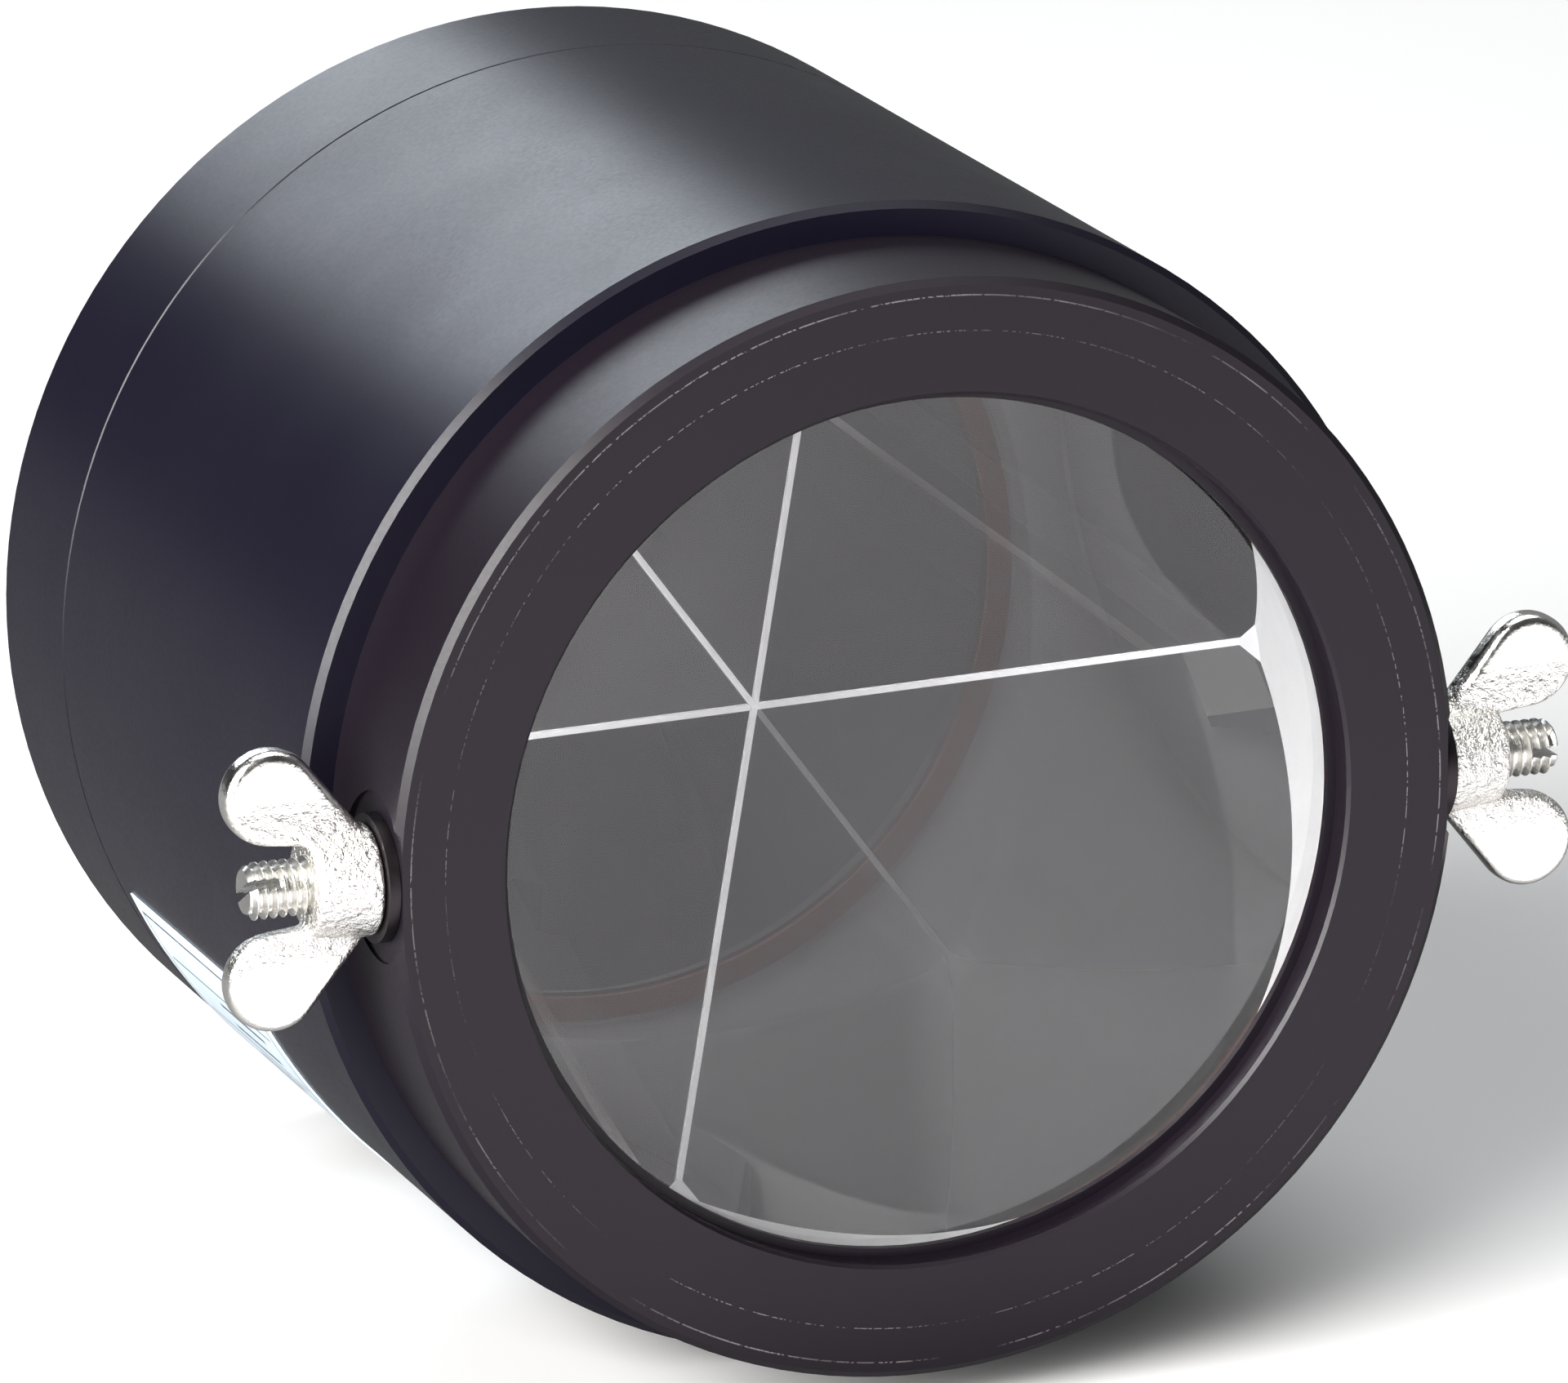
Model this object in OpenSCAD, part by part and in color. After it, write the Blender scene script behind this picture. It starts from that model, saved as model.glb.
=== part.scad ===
// Survey prism: a glass corner cube in a round canister that tilts on two threaded studs.
// +Y is the optical axis, pointing from the front face into the canister.
// +X is the tilt axis through both studs, +Z is up. The origin is where the two axes cross.
// Millimetres.

/* [Prism] */
// Diameter of the glass
prism_d = 66; // [56:0.5:80]
// Shortest height of the glass cylinder, at the middle of each reflecting face
prism_belt = 4.33; // [3:0.01:8]
// Direction of the first roof edge, from +X towards +Z
edge_azimuth = 9.4; // [0:0.1:120]
// Width of the ground flat along each roof edge
roof_flat_w = 0.45; // [0.3:0.05:1.2]
// Width of the ground bevel round the front of the glass
rim_bevel = 0.3; // [0.1:0.05:0.8]
// Distance of each blunted corner from the optical axis, short of the glass radius
corner_cut = 1.1; // [0.5:0.1:2]
// Tilt of the blunted corners towards the rear
corner_tilt = 23; // [10:1:40]
// Breadth of the cutter that blunts each corner
corner_cutter_w = 20; // [16:1:30]

/* [Collar] */
// Wall of the collar outside the glass
collar_wall = 6.35; // [5:0.05:9]
// Length of the collar in front of the barrel
collar_len = 13.2; // [12:0.1:20]
// How far the collar's lip covers the rim of the glass
rim_cover = 1.75; // [1:0.05:3]
// Depth of the front bore, down to the lip
aperture_depth = 2.1; // [1:0.1:5]
// Step from the front bore to the lip
lip_step = 0.65; // [0.3:0.05:0.9]
// Thickness of the lip
lip_t = 0.6; // [0.4:0.1:1.5]
// Chamfer round the collar's front edge
collar_chamfer = 0.5; // [0.2:0.05:1]
// Chamfer at the mouth of the front bore
bore_chamfer = 0.25; // [0.1:0.05:0.5]
// Width of the shoulder that seats on the barrel
shoulder_w = 2.0; // [1.5:0.1:3]
// Length of the threaded spigot inside the barrel
spigot_len = 12; // [8:0.5:16]
// Step down from the spigot to the sleeve behind it
sleeve_step = 1.3; // [0.8:0.1:1.5]

/* [Barrel] */
// How far the barrel stands out beyond the collar
barrel_step = 2.4; // [1.5:0.1:5]
// Length of the barrel from its front face to the seam
barrel_len = 53.1; // [44:0.1:66]
// Clearance cut behind the barrel's front thread
bore_relief = 1.1; // [0.6:0.1:1.5]
// Chamfer round the barrel's front edge
barrel_chamfer = 0.5; // [0.2:0.05:1]
// Chamfer on both sides of the seam
seam_chamfer = 0.15; // [0.05:0.05:0.4]

/* [Rear cap] */
// Length of the cap behind the seam
cap_len = 14.35; // [12:0.05:20]
// Thickness of the cap's back
back_t = 6; // [5:0.5:8]
// Length of the cap's spigot inside the barrel
cap_spigot_len = 8; // [6:0.5:12]
// Wall of the cap's spigot
cap_spigot_wall = 3.6; // [2.6:0.1:5]
// Step from the barrel's bore to its rear thread
cap_thread_step = 0.6; // [0.4:0.1:1]
// Chamfer round the rear edge
rear_chamfer = 0.6; // [0.2:0.05:1.5]
// Width of the raised rim round the rear face
rear_rim_w = 9; // [5:0.5:14]
// Depth of the rear face below that rim
rear_recess = 1.2; // [0.5:0.1:1.5]
// Diameter of the two pin-spanner holes in the rear face
spanner_hole_d = 4; // [3:0.1:5]
// Distance between the spanner holes
spanner_spacing = 50; // [36:1:56]
// Depth of the spanner holes
spanner_hole_depth = 3; // [2:0.1:3.5]

/* [Seals and retainer] */
// Thickness of the seat gasket in front of the glass
gasket_t = 0.5; // [0.3:0.05:1]
// Width of the seat gasket
gasket_w = 2.1; // [1.5:0.1:2.2]
// Thickness of the O-ring cords
oring_t = 1.3; // [1:0.05:1.6]
// Distance from a shoulder to its O-ring groove
groove_offset = 1.2; // [0.8:0.1:2]
// Width of the O-ring grooves
groove_w = 1.8; // [1.7:0.1:2.4]
// Radial width of the three pads
pad_w = 4.6; // [3:0.1:6]
// Breadth of the pads along the rim
pad_breadth = 6; // [4:0.5:10]
// Thickness of the pads at their thin end
pad_t = 1.8; // [1:0.1:3]
// Thickness of the pressure ring
pressure_ring_t = 2.2; // [1.5:0.1:3]
// Radial width of the pressure ring, the spring and the lock ring
ring_w = 5; // [4:0.1:6]
// Free height of the disc spring
spring_h = 2; // [1.2:0.1:3]
// Thickness of the disc spring
spring_t = 0.5; // [0.3:0.05:0.8]
// Thickness of the lock ring
lock_ring_t = 3.5; // [2.5:0.1:5]
// Step from the cell bore to the lock ring's thread
lock_thread_step = 0.95; // [0.6:0.05:1]
// Width of the two slots in the lock ring
lock_slot_w = 2.5; // [1.5:0.1:4]

/* [Studs and wing nuts] */
// Distance from the front face back to the stud axis
stud_setback = 4.6; // [4.2:0.1:6.5]
// Thread diameter of the studs
thread_d = 4; // [3:0.5:4.5]
// Length of each stud outside its spot face
stud_out = 9.9; // [9:0.1:18]
// Length of each stud in the collar
stud_in = 4.1; // [3:0.1:4.6]
// Width of the screwdriver slot
stud_slot_w = 0.7; // [0.5:0.05:1]
// Depth of the screwdriver slot
stud_slot_depth = 2.2; // [1:0.1:2.5]
// Chamfer at the stud tip
stud_chamfer = 0.45; // [0.2:0.05:0.6]
// Turn of the right and left screwdriver slots about their studs
stud_slot_turns = [0, 150]; // [0:5:180]
// Diameter of the spot face milled round each stud
spot_d = 12; // [10:0.5:14]
// Depth of the spot face
spot_depth = 0.6; // [0.3:0.05:1]
// Outer diameter of the washers
washer_d = 9; // [8:0.5:11]
// Thickness of the washers
washer_t = 0.8; // [0.5:0.1:1.2]
// Diameter of the wing nut's hub at its base
hub_base_d = 8; // [7:0.1:10]
// Diameter of the hub at its outer end
hub_top_d = 7; // [6:0.1:9]
// Height of the hub
hub_h = 4.6; // [4:0.1:6]
// Flat rim of the hub's outer end where the wings start
hub_rim_w = 0.4; // [0.2:0.1:1]
// Span over both wings
wing_span = 20; // [17:0.5:26]
// Height of the wings above the hub's base
wing_h = 10.5; // [9:0.1:14]
// Radius of each wing's round end
wing_end_r = 3.4; // [2.5:0.1:4]
// Thickness of the wings
wing_t = 2.3; // [1.5:0.1:3]

/* [Label] */
// Length of the label along the barrel
label_len = 27.2; // [15:0.1:35]
// Length of the label round the barrel
label_wrap = 40; // [20:1:60]
// Distance from the barrel's front face to the label
label_setback = 22.8; // [5:0.1:24]
// Direction of the label's upper edge, from +X towards +Z
label_azimuth = 205; // [190:1:300]
// Thickness of the label
label_t = 0.12; // [0.08:0.01:0.2]

/* [Clearances] */
// Gap between pieces that screw or drop into each other
seat_gap = 0.02; // [0.01:0.01:0.1]
// Radial gap round the glass and the retainer rings
cell_gap = 0.15; // [0.1:0.01:0.3]
// Radial gap between nut and stud
nut_gap = 0.05; // [0.01:0.01:0.1]
// Radial gap between washer and stud
washer_gap = 0.15; // [0.1:0.01:0.4]
// Gap between the stacked faces of collar, washer and nut
face_gap = 0.05; // [0.02:0.01:0.2]

/* [Hidden] */
$fn = 96;

// How far a cutting tool runs past the surface that it cuts
overrun = 1;

// Radii, from the glass outwards
prism_r = prism_d / 2;
cell_r = prism_r + cell_gap;
collar_r = cell_r + collar_wall;
barrel_r = collar_r + barrel_step;
aperture_r = prism_r - rim_cover;
lip_r = aperture_r - lip_step;
spigot_r = collar_r - shoulder_w;
sleeve_r = spigot_r - sleeve_step;
lock_thread_r = cell_r + lock_thread_step;
bore_r = spigot_r + bore_relief;
cap_spigot_r = bore_r + cap_thread_step;
pocket_r = cap_spigot_r - cap_spigot_wall;

// Stations along the optical axis, from the front to the rear
front_y = -stud_setback;
lip_y = front_y + aperture_depth;
seat_y = lip_y + lip_t;
glass_y = seat_y + gasket_t;
shoulder_y = front_y + collar_len;
spigot_end_y = shoulder_y + spigot_len;
seam_y = shoulder_y + barrel_len;
cap_front_y = seam_y - cap_spigot_len;
rear_y = seam_y + cap_len;

// The corner cube: each face leans away from the axis by the slope sqrt(2), each roof edge by 1 / sqrt(2)
prism_h = prism_belt + prism_r * sqrt(2);
apex_y = glass_y + prism_h;
roof_flat_depth = roof_flat_w / 2;
function roof_edge_y(r) = apex_y - r / sqrt(2);
function roof_flat_y(r) = roof_edge_y(r) - roof_flat_depth * sqrt(3 / 2);

// The retainer stack behind the glass
retainer_r = prism_r - cell_gap;
pad_in_r = retainer_r - pad_w;
pad_top_y = roof_flat_y(pad_in_r) + pad_t;
spring_y = pad_top_y + pressure_ring_t;
lock_ring_y = spring_y + spring_h + seat_gap;
sleeve_end_y = lock_ring_y + lock_ring_t;

// The O-ring grooves
groove_depth = oring_t;
oring_inset = oring_t / 2 + seat_gap / 2;

// Stations along each stud, out from the optical axis
stud_root_x = collar_r - spot_depth - stud_in;
spot_x = collar_r - spot_depth;
washer_x = spot_x + face_gap;
nut_x = washer_x + washer_t + face_gap;
stud_tip_x = spot_x + stud_out;

// A turned piece: its outline holds pairs of radius and place on the optical axis
module turned(outline) rotate([-90, 0, 0]) rotate_extrude() polygon(outline);

// Turns +X to a direction round the optical axis, measured from +X towards +Z
module towards(azimuth) rotate([0, -azimuth, 0]) children();

// Stands a child that is drawn up along +Z on a stud: 1 for the right side, -1 for the left
module on_stud(side, x) rotate([0, side * 90, 0]) translate([0, 0, x]) children();

// A ring groove cut as [inner radius, outer radius] over a width that starts at y
module ring_groove(inner_r, outer_r, y, width)
    turned([[inner_r, y], [outer_r, y], [outer_r, y + width], [inner_r, y + width]]);

module collar_blank() turned([
    [aperture_r + bore_chamfer, front_y],
    [collar_r - collar_chamfer, front_y],
    [collar_r, front_y + collar_chamfer],
    [collar_r, shoulder_y],
    [spigot_r, shoulder_y],
    [spigot_r, spigot_end_y],
    [sleeve_r, spigot_end_y],
    [sleeve_r, sleeve_end_y],
    [lock_thread_r, sleeve_end_y],
    [lock_thread_r, spring_y],
    [cell_r, spring_y],
    [cell_r, seat_y],
    [lip_r, seat_y],
    [lip_r, lip_y],
    [aperture_r, lip_y],
    [aperture_r, front_y + bore_chamfer]
]);

module collar() color([0.13, 0.12, 0.13]) difference() {
    collar_blank();
    ring_groove(spigot_r - groove_depth, spigot_r + overrun, shoulder_y + groove_offset, groove_w);
    for (side = [1, -1]) {
        on_stud(side, spot_x) cylinder(d = spot_d, h = spot_depth + overrun);
        on_stud(side, stud_root_x - seat_gap) cylinder(r = thread_d / 2 + seat_gap, h = stud_in + overrun);
    }
}

module barrel() color([0.12, 0.12, 0.15]) turned([
    [spigot_r + seat_gap, shoulder_y],
    [barrel_r - barrel_chamfer, shoulder_y],
    [barrel_r, shoulder_y + barrel_chamfer],
    [barrel_r, seam_y - seam_chamfer],
    [barrel_r - seam_chamfer, seam_y],
    [cap_spigot_r + seat_gap, seam_y],
    [cap_spigot_r + seat_gap, cap_front_y - seat_gap],
    [bore_r, cap_front_y - seat_gap],
    [bore_r, spigot_end_y],
    [spigot_r + seat_gap, spigot_end_y]
]);

module rear_cap() color([0.12, 0.12, 0.15]) difference() {
    turned([
        [pocket_r, cap_front_y],
        [cap_spigot_r, cap_front_y],
        [cap_spigot_r, seam_y],
        [barrel_r - seam_chamfer, seam_y],
        [barrel_r, seam_y + seam_chamfer],
        [barrel_r, rear_y - rear_chamfer],
        [barrel_r - rear_chamfer, rear_y],
        [barrel_r - rear_rim_w, rear_y],
        [barrel_r - rear_rim_w, rear_y - rear_recess],
        [0, rear_y - rear_recess],
        [0, rear_y - back_t],
        [pocket_r, rear_y - back_t]
    ]);
    ring_groove(cap_spigot_r - groove_depth, cap_spigot_r + overrun,
        seam_y - groove_offset - groove_w, groove_w);
    for (side = [1, -1])
        translate([side * spanner_spacing / 2, rear_y - rear_recess - spanner_hole_depth, 0])
            rotate([-90, 0, 0]) cylinder(d = spanner_hole_d, h = spanner_hole_depth + rear_recess);
}

// A cube stood on its corner at the apex, with a flat ground along each of its three roof edges
module corner_of_cube() {
    side = 2 * prism_h;
    translate([0, apex_y, 0]) rotate([90, 0, 0]) rotate([0, 0, edge_azimuth - 60])
        rotate([0, -acos(1 / sqrt(3)), 0]) rotate([0, 0, -45])
        difference() {
            cube(side);
            for (i = [0:2]) rotate(a = 120 * i, v = [1, 1, 1]) rotate([45, 0, 0])
                translate([-overrun, -roof_flat_depth, -roof_flat_w])
                    cube([side + 2 * overrun, 2 * roof_flat_depth, 2 * roof_flat_w]);
        }
}

// Blunts the corner where a roof edge meets the glass cylinder
module corner_cutter() {
    r = prism_r - corner_cut;
    half = corner_cutter_w / 2;
    translate([r, roof_edge_y(r), 0]) rotate([0, 0, corner_tilt])
        translate([0, -corner_cutter_w, -half]) cube([half, 2 * corner_cutter_w, 2 * half]);
}

module prism() color([0.75, 0.85, 0.9, 0.4]) difference() {
    intersection() {
        turned([
            [0, glass_y],
            [prism_r - rim_bevel, glass_y],
            [prism_r, glass_y + rim_bevel],
            [prism_r, apex_y + overrun],
            [0, apex_y + overrun]
        ]);
        corner_of_cube();
    }
    for (i = [0:2]) towards(edge_azimuth + 120 * i) corner_cutter();
}

module seat_gasket() color([0.45, 0.2, 0.15])
    ring_groove(prism_r - gasket_w, prism_r, seat_y + seat_gap / 2, gasket_t - seat_gap);

// A wedge that bears only on the ground flat of one roof edge
module pad(i) color([0.1, 0.1, 0.1]) towards(edge_azimuth + 120 * i)
    translate([0, 0, -pad_breadth / 2]) linear_extrude(pad_breadth) polygon([
        [pad_in_r, roof_flat_y(pad_in_r) + seat_gap],
        [retainer_r - cell_gap, roof_flat_y(retainer_r - cell_gap) + seat_gap],
        [retainer_r - cell_gap, pad_top_y - seat_gap],
        [pad_in_r, pad_top_y - seat_gap]
    ]);

module pressure_ring() color([0.06, 0.05, 0.06])
    ring_groove(retainer_r - ring_w, retainer_r, pad_top_y, pressure_ring_t - seat_gap);

module disc_spring() color([0.7, 0.7, 0.7]) turned([
    [retainer_r - ring_w + 1, spring_y + spring_h - spring_t],
    [retainer_r, spring_y],
    [retainer_r, spring_y + spring_t],
    [retainer_r - ring_w + 1, spring_y + spring_h]
]);

module lock_ring() color([0.15, 0.15, 0.16]) difference() {
    ring_groove(retainer_r - ring_w, lock_thread_r - seat_gap, lock_ring_y, lock_ring_t);
    translate([-lock_thread_r, lock_ring_y + lock_ring_t / 2, -lock_slot_w / 2])
        cube([2 * lock_thread_r, lock_ring_t, lock_slot_w]);
}

// An O-ring whose cord is centred on the radius r at y
module o_ring(r, y) rotate([-90, 0, 0]) rotate_extrude() translate([r, y]) circle(d = oring_t - seat_gap, $fn = 32);

module collar_o_ring() color([0.08, 0.08, 0.08])
    o_ring(spigot_r + seat_gap - oring_inset, shoulder_y + groove_offset + groove_w / 2);

module cap_o_ring() color([0.08, 0.08, 0.08])
    o_ring(cap_spigot_r + seat_gap - oring_inset, seam_y - groove_offset - groove_w / 2);

module label() color([0.75, 0.84, 0.9]) {
    sweep = label_wrap / barrel_r * 180 / PI;
    y = shoulder_y + label_setback;
    towards(label_azimuth + sweep) rotate([-90, 0, 0]) rotate_extrude(angle = sweep) polygon([
        [barrel_r + seat_gap, y],
        [barrel_r + seat_gap + label_t, y],
        [barrel_r + seat_gap + label_t, y + label_len],
        [barrel_r + seat_gap, y + label_len]
    ]);
}

module stud(side, slot_turn) color([0.8, 0.8, 0.78]) difference() {
    on_stud(side, stud_root_x) {
        cylinder(d = thread_d, h = stud_tip_x - stud_root_x - stud_chamfer);
        translate([0, 0, stud_tip_x - stud_root_x - stud_chamfer])
            cylinder(d1 = thread_d, d2 = thread_d - 2 * stud_chamfer, h = stud_chamfer);
    }
    rotate([slot_turn, 0, 0]) translate([side * stud_tip_x, 0, 0])
        cube([2 * stud_slot_depth, 2 * thread_d, stud_slot_w], center = true);
}

module washer(side) color([0.25, 0.24, 0.22]) on_stud(side, washer_x) difference() {
    cylinder(d = washer_d, h = washer_t);
    translate([0, 0, -overrun]) cylinder(r = thread_d / 2 + washer_gap, h = washer_t + 2 * overrun);
}

// One wing in profile, with x out from the stud axis and y up from the hub's base
module wing_profile() {
    end_x = wing_span / 2 - wing_end_r;
    end_y = wing_h - wing_end_r;
    lean = 45;
    across = wing_end_r * [cos(lean), -sin(lean)];
    translate([end_x, end_y]) circle(r = wing_end_r);
    polygon([
        [0, 0],
        [hub_base_d / 2, 0],
        [end_x, end_y] + across,
        [end_x, end_y] - across,
        [hub_top_d / 2 - hub_rim_w, hub_h],
        [0, hub_h]
    ]);
}

module wing_nut(side) color([0.85, 0.84, 0.8]) on_stud(side, nut_x) difference() {
    union() {
        cylinder(d1 = hub_base_d, d2 = hub_top_d, h = hub_h);
        for (turn = [0, 180]) rotate([0, 0, turn]) rotate([90, 0, 0])
            translate([0, 0, -wing_t / 2]) linear_extrude(wing_t) wing_profile();
    }
    translate([0, 0, -overrun]) cylinder(r = thread_d / 2 + nut_gap, h = wing_h + 2 * overrun);
}

collar();
barrel();
rear_cap();
prism();
seat_gasket();
pad(0);  // pad_right
pad(1);  // pad_top
pad(2);  // pad_bottom
pressure_ring();
disc_spring();
lock_ring();
collar_o_ring();
cap_o_ring();
label();
stud(1, stud_slot_turns[0]);  // stud_right
stud(-1, stud_slot_turns[1]);  // stud_left
washer(1);  // washer_right
washer(-1);  // washer_left
wing_nut(1);  // wing_nut_right
wing_nut(-1);  // wing_nut_left
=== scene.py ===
# %% [markdown]
# # A survey prism in its round canister
#
# A survey prism is a solid glass corner cube. Three polished faces meet at right angles at the apex, so
# light that comes in through the round front goes back to where it came from. The glass sits in a black
# anodised canister: a collar in front, a long barrel and a rear cap. Two threaded studs stand out of the
# collar, and a wing nut on each one clamps the canister in its yoke.
#
# The turned metal parts arrive finished from the design. This lesson sets up the studio, makes the
# finishes, and models what a lathe outline can't give: the cut glass, the screw threads and the cast wing
# nuts.

import math

import bmesh
import bpy
from mathutils import Matrix, Vector


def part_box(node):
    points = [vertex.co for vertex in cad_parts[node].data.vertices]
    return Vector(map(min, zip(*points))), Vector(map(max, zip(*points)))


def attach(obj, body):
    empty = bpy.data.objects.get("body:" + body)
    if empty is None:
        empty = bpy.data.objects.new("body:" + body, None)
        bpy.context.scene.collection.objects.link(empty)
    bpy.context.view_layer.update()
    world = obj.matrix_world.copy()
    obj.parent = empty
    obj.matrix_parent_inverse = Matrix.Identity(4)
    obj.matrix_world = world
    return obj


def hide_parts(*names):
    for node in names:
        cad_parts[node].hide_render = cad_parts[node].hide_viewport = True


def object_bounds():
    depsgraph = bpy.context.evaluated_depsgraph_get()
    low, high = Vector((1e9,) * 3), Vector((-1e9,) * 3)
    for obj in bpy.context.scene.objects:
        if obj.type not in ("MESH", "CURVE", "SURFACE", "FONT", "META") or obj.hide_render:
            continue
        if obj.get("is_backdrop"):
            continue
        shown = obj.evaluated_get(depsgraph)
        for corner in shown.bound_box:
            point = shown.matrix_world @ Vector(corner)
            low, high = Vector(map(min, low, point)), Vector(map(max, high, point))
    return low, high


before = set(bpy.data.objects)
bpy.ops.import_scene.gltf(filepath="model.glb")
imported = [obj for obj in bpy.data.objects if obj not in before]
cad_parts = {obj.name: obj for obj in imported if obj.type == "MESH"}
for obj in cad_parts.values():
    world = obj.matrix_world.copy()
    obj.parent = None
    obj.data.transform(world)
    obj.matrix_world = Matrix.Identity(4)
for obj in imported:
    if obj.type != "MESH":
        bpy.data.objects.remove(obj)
cad_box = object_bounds()
MM = 0.001
SIDES = {"right": 1, "left": -1}

# %% [markdown]
# ## Where things are
#
# Every place comes from the boxes of the design's own parts. The optical axis is Y and points into the
# canister, the tilt axis is X, and both pass through the origin. The corner cube's own angles are geometry:
# each reflecting face leans so that the three meet at right angles.

# %% Read the places that the pieces need
collar_low, collar_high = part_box("collar")
barrel_low, barrel_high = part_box("barrel")
prism_low, prism_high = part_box("prism")
label_low, label_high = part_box("label")
FRONT_Y = collar_low.y
COLLAR_R = collar_high.x
BARREL_R = barrel_high.x
FLOOR_Z = -BARREL_R
print(f"collar radius {COLLAR_R / MM:.2f} mm, barrel radius {BARREL_R / MM:.2f} mm")

# %% [markdown]
# ## The camera
#
# The object is seen from its front left and a little above, through a long lens, as in a catalogue: a long
# lens keeps the circles from looking stretched. A camera is placed by its three directions, right, up and
# back, which are the columns of its matrix.

# %% Set up the camera
AZIMUTH = math.radians(-21.018)
ELEVATION = math.radians(15.877)
ROLL = math.radians(-0.215)
CAMERA_PLACE = Vector((-293.68, -740.18, 235.58)) * MM
LENS = 274.3  # mm of focal length, on a sensor as wide as 35 mm film
SENSOR_WIDTH = 36


def camera_turn(azimuth, elevation, roll):
    """The camera's directions as a matrix: its columns are right, up and back."""
    level = Matrix.Rotation(azimuth, 4, "Z") @ Matrix.Rotation(math.pi / 2 - elevation, 4, "X")
    return level @ Matrix.Rotation(roll, 4, "Z")


camera_data = bpy.data.cameras.new("camera")
camera_data.lens = LENS
camera_data.sensor_width = SENSOR_WIDTH
camera_data.clip_start = 0.05
camera_data.clip_end = 20
camera = bpy.data.objects.new("camera", camera_data)
bpy.context.scene.collection.objects.link(camera)
bpy.context.scene.camera = camera
camera.matrix_world = Matrix.Translation(CAMERA_PLACE) @ camera_turn(AZIMUTH, ELEVATION, ROLL)
print("camera back:", [round(c, 5) for c in camera.matrix_world.col[2][:3]])

# %% [markdown]
# ## The studio
#
# Black anodised metal has almost no colour of its own: what shows is the light that it reflects. So the
# studio is made before any finish. A large soft box behind and above draws the broad band along the barrel,
# an overhead one lights the white floor, and a third at the front left goes into the glass and onto the
# plated nuts. The front of the glass mirrors the floor before it, so a low panel lies there, and its
# reflection gives the glass its even grey.
#
# The floor is made first. It is one large face at the height where the barrel rests.

# %% Lay the floor
FLOOR_SIZE = 8
FLOOR_WHITE = (0.56, 0.56, 0.56, 1)
# painted shade: the grey that reflections see on the floor behind the object
FLOOR_GREY = (0.12, 0.12, 0.12, 1)
GREY_BEHIND_Y = 0.05
WHITE_BEFORE_Y = -0.1


def use_nodes(holder):
    """Clears a material's or world's nodes and returns its tree."""
    holder.use_nodes = True
    holder.node_tree.nodes.clear()
    return holder.node_tree


def add(tree, kind, place=(0, 0), **settings):
    """Adds a node and sets its named properties."""
    made = tree.nodes.new(kind)
    made.location = place
    for name, value in settings.items():
        setattr(made, name, value)
    return made


def floor_paper():
    """Matt paper, white to the eye. Behind the object, reflections see it grey, a painted shade that keeps
    black metal black.
    """
    finish = bpy.data.materials.new("floor_paper")
    tree = use_nodes(finish)
    path = add(tree, "ShaderNodeLightPath", (-900, 200))
    place = add(tree, "ShaderNodeTexCoord", (-900, 0))
    split = add(tree, "ShaderNodeSeparateXYZ", (-700, 0))
    front = add(tree, "ShaderNodeMapRange", (-500, 0), interpolation_type="SMOOTHSTEP")
    front.inputs["From Min"].default_value = GREY_BEHIND_Y
    front.inputs["From Max"].default_value = WHITE_BEFORE_Y
    white = add(tree, "ShaderNodeMath", (-350, 100), operation="MAXIMUM")
    shade = add(tree, "ShaderNodeMix", (-250, 0), data_type="RGBA")
    shade.inputs[6].default_value = FLOOR_GREY
    shade.inputs[7].default_value = FLOOR_WHITE
    tree.links.new(place.outputs["Object"], split.inputs[0])
    tree.links.new(split.outputs["Y"], front.inputs["Value"])
    tree.links.new(path.outputs["Is Camera Ray"], white.inputs[0])
    tree.links.new(front.outputs["Result"], white.inputs[1])
    tree.links.new(white.outputs[0], shade.inputs[0])
    shader = add(tree, "ShaderNodeBsdfPrincipled")
    shader.inputs["Roughness"].default_value = 0.8
    tree.links.new(shade.outputs[2], shader.inputs["Base Color"])
    out = add(tree, "ShaderNodeOutputMaterial", (300, 0))
    tree.links.new(shader.outputs["BSDF"], out.inputs["Surface"])
    return finish


def make_floor(size):
    bm = bmesh.new()
    bmesh.ops.create_grid(bm, x_segments=1, y_segments=1, size=size / 2)
    bmesh.ops.translate(bm, verts=bm.verts, vec=(0, 0, FLOOR_Z))
    mesh = bpy.data.meshes.new("floor")
    bm.to_mesh(mesh)
    bm.free()
    floor = bpy.data.objects.new("floor", mesh)
    bpy.context.scene.collection.objects.link(floor)
    floor.data.materials.append(floor_paper())
    floor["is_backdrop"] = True


make_floor(FLOOR_SIZE)
print("floor at", round(FLOOR_Z / MM, 2), "mm")

# %% [markdown]
# ## The room's own light
#
# A plain world colour would light the canister evenly and make it look flat. So the world has two faces.
# The lens sees white paper. The object sees a room: dim in front, where the camera stands, a wall behind
# that is lighter on the right, and almost none on the left.

# %% Light the room
DIM_ROOM = 0.05
LEFT_WALL = 0.03
RIGHT_WALL = 0.22
DIM_TO_Y = -0.75  # looking further forwards than this is all dim
WALL_FROM_Y = 0.1
WALL_CHANGES_X = 0.4
ROOM_COLOUR = (0.95, 0.97, 1, 1)
PAPER_STRENGTH = 1.1

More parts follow.
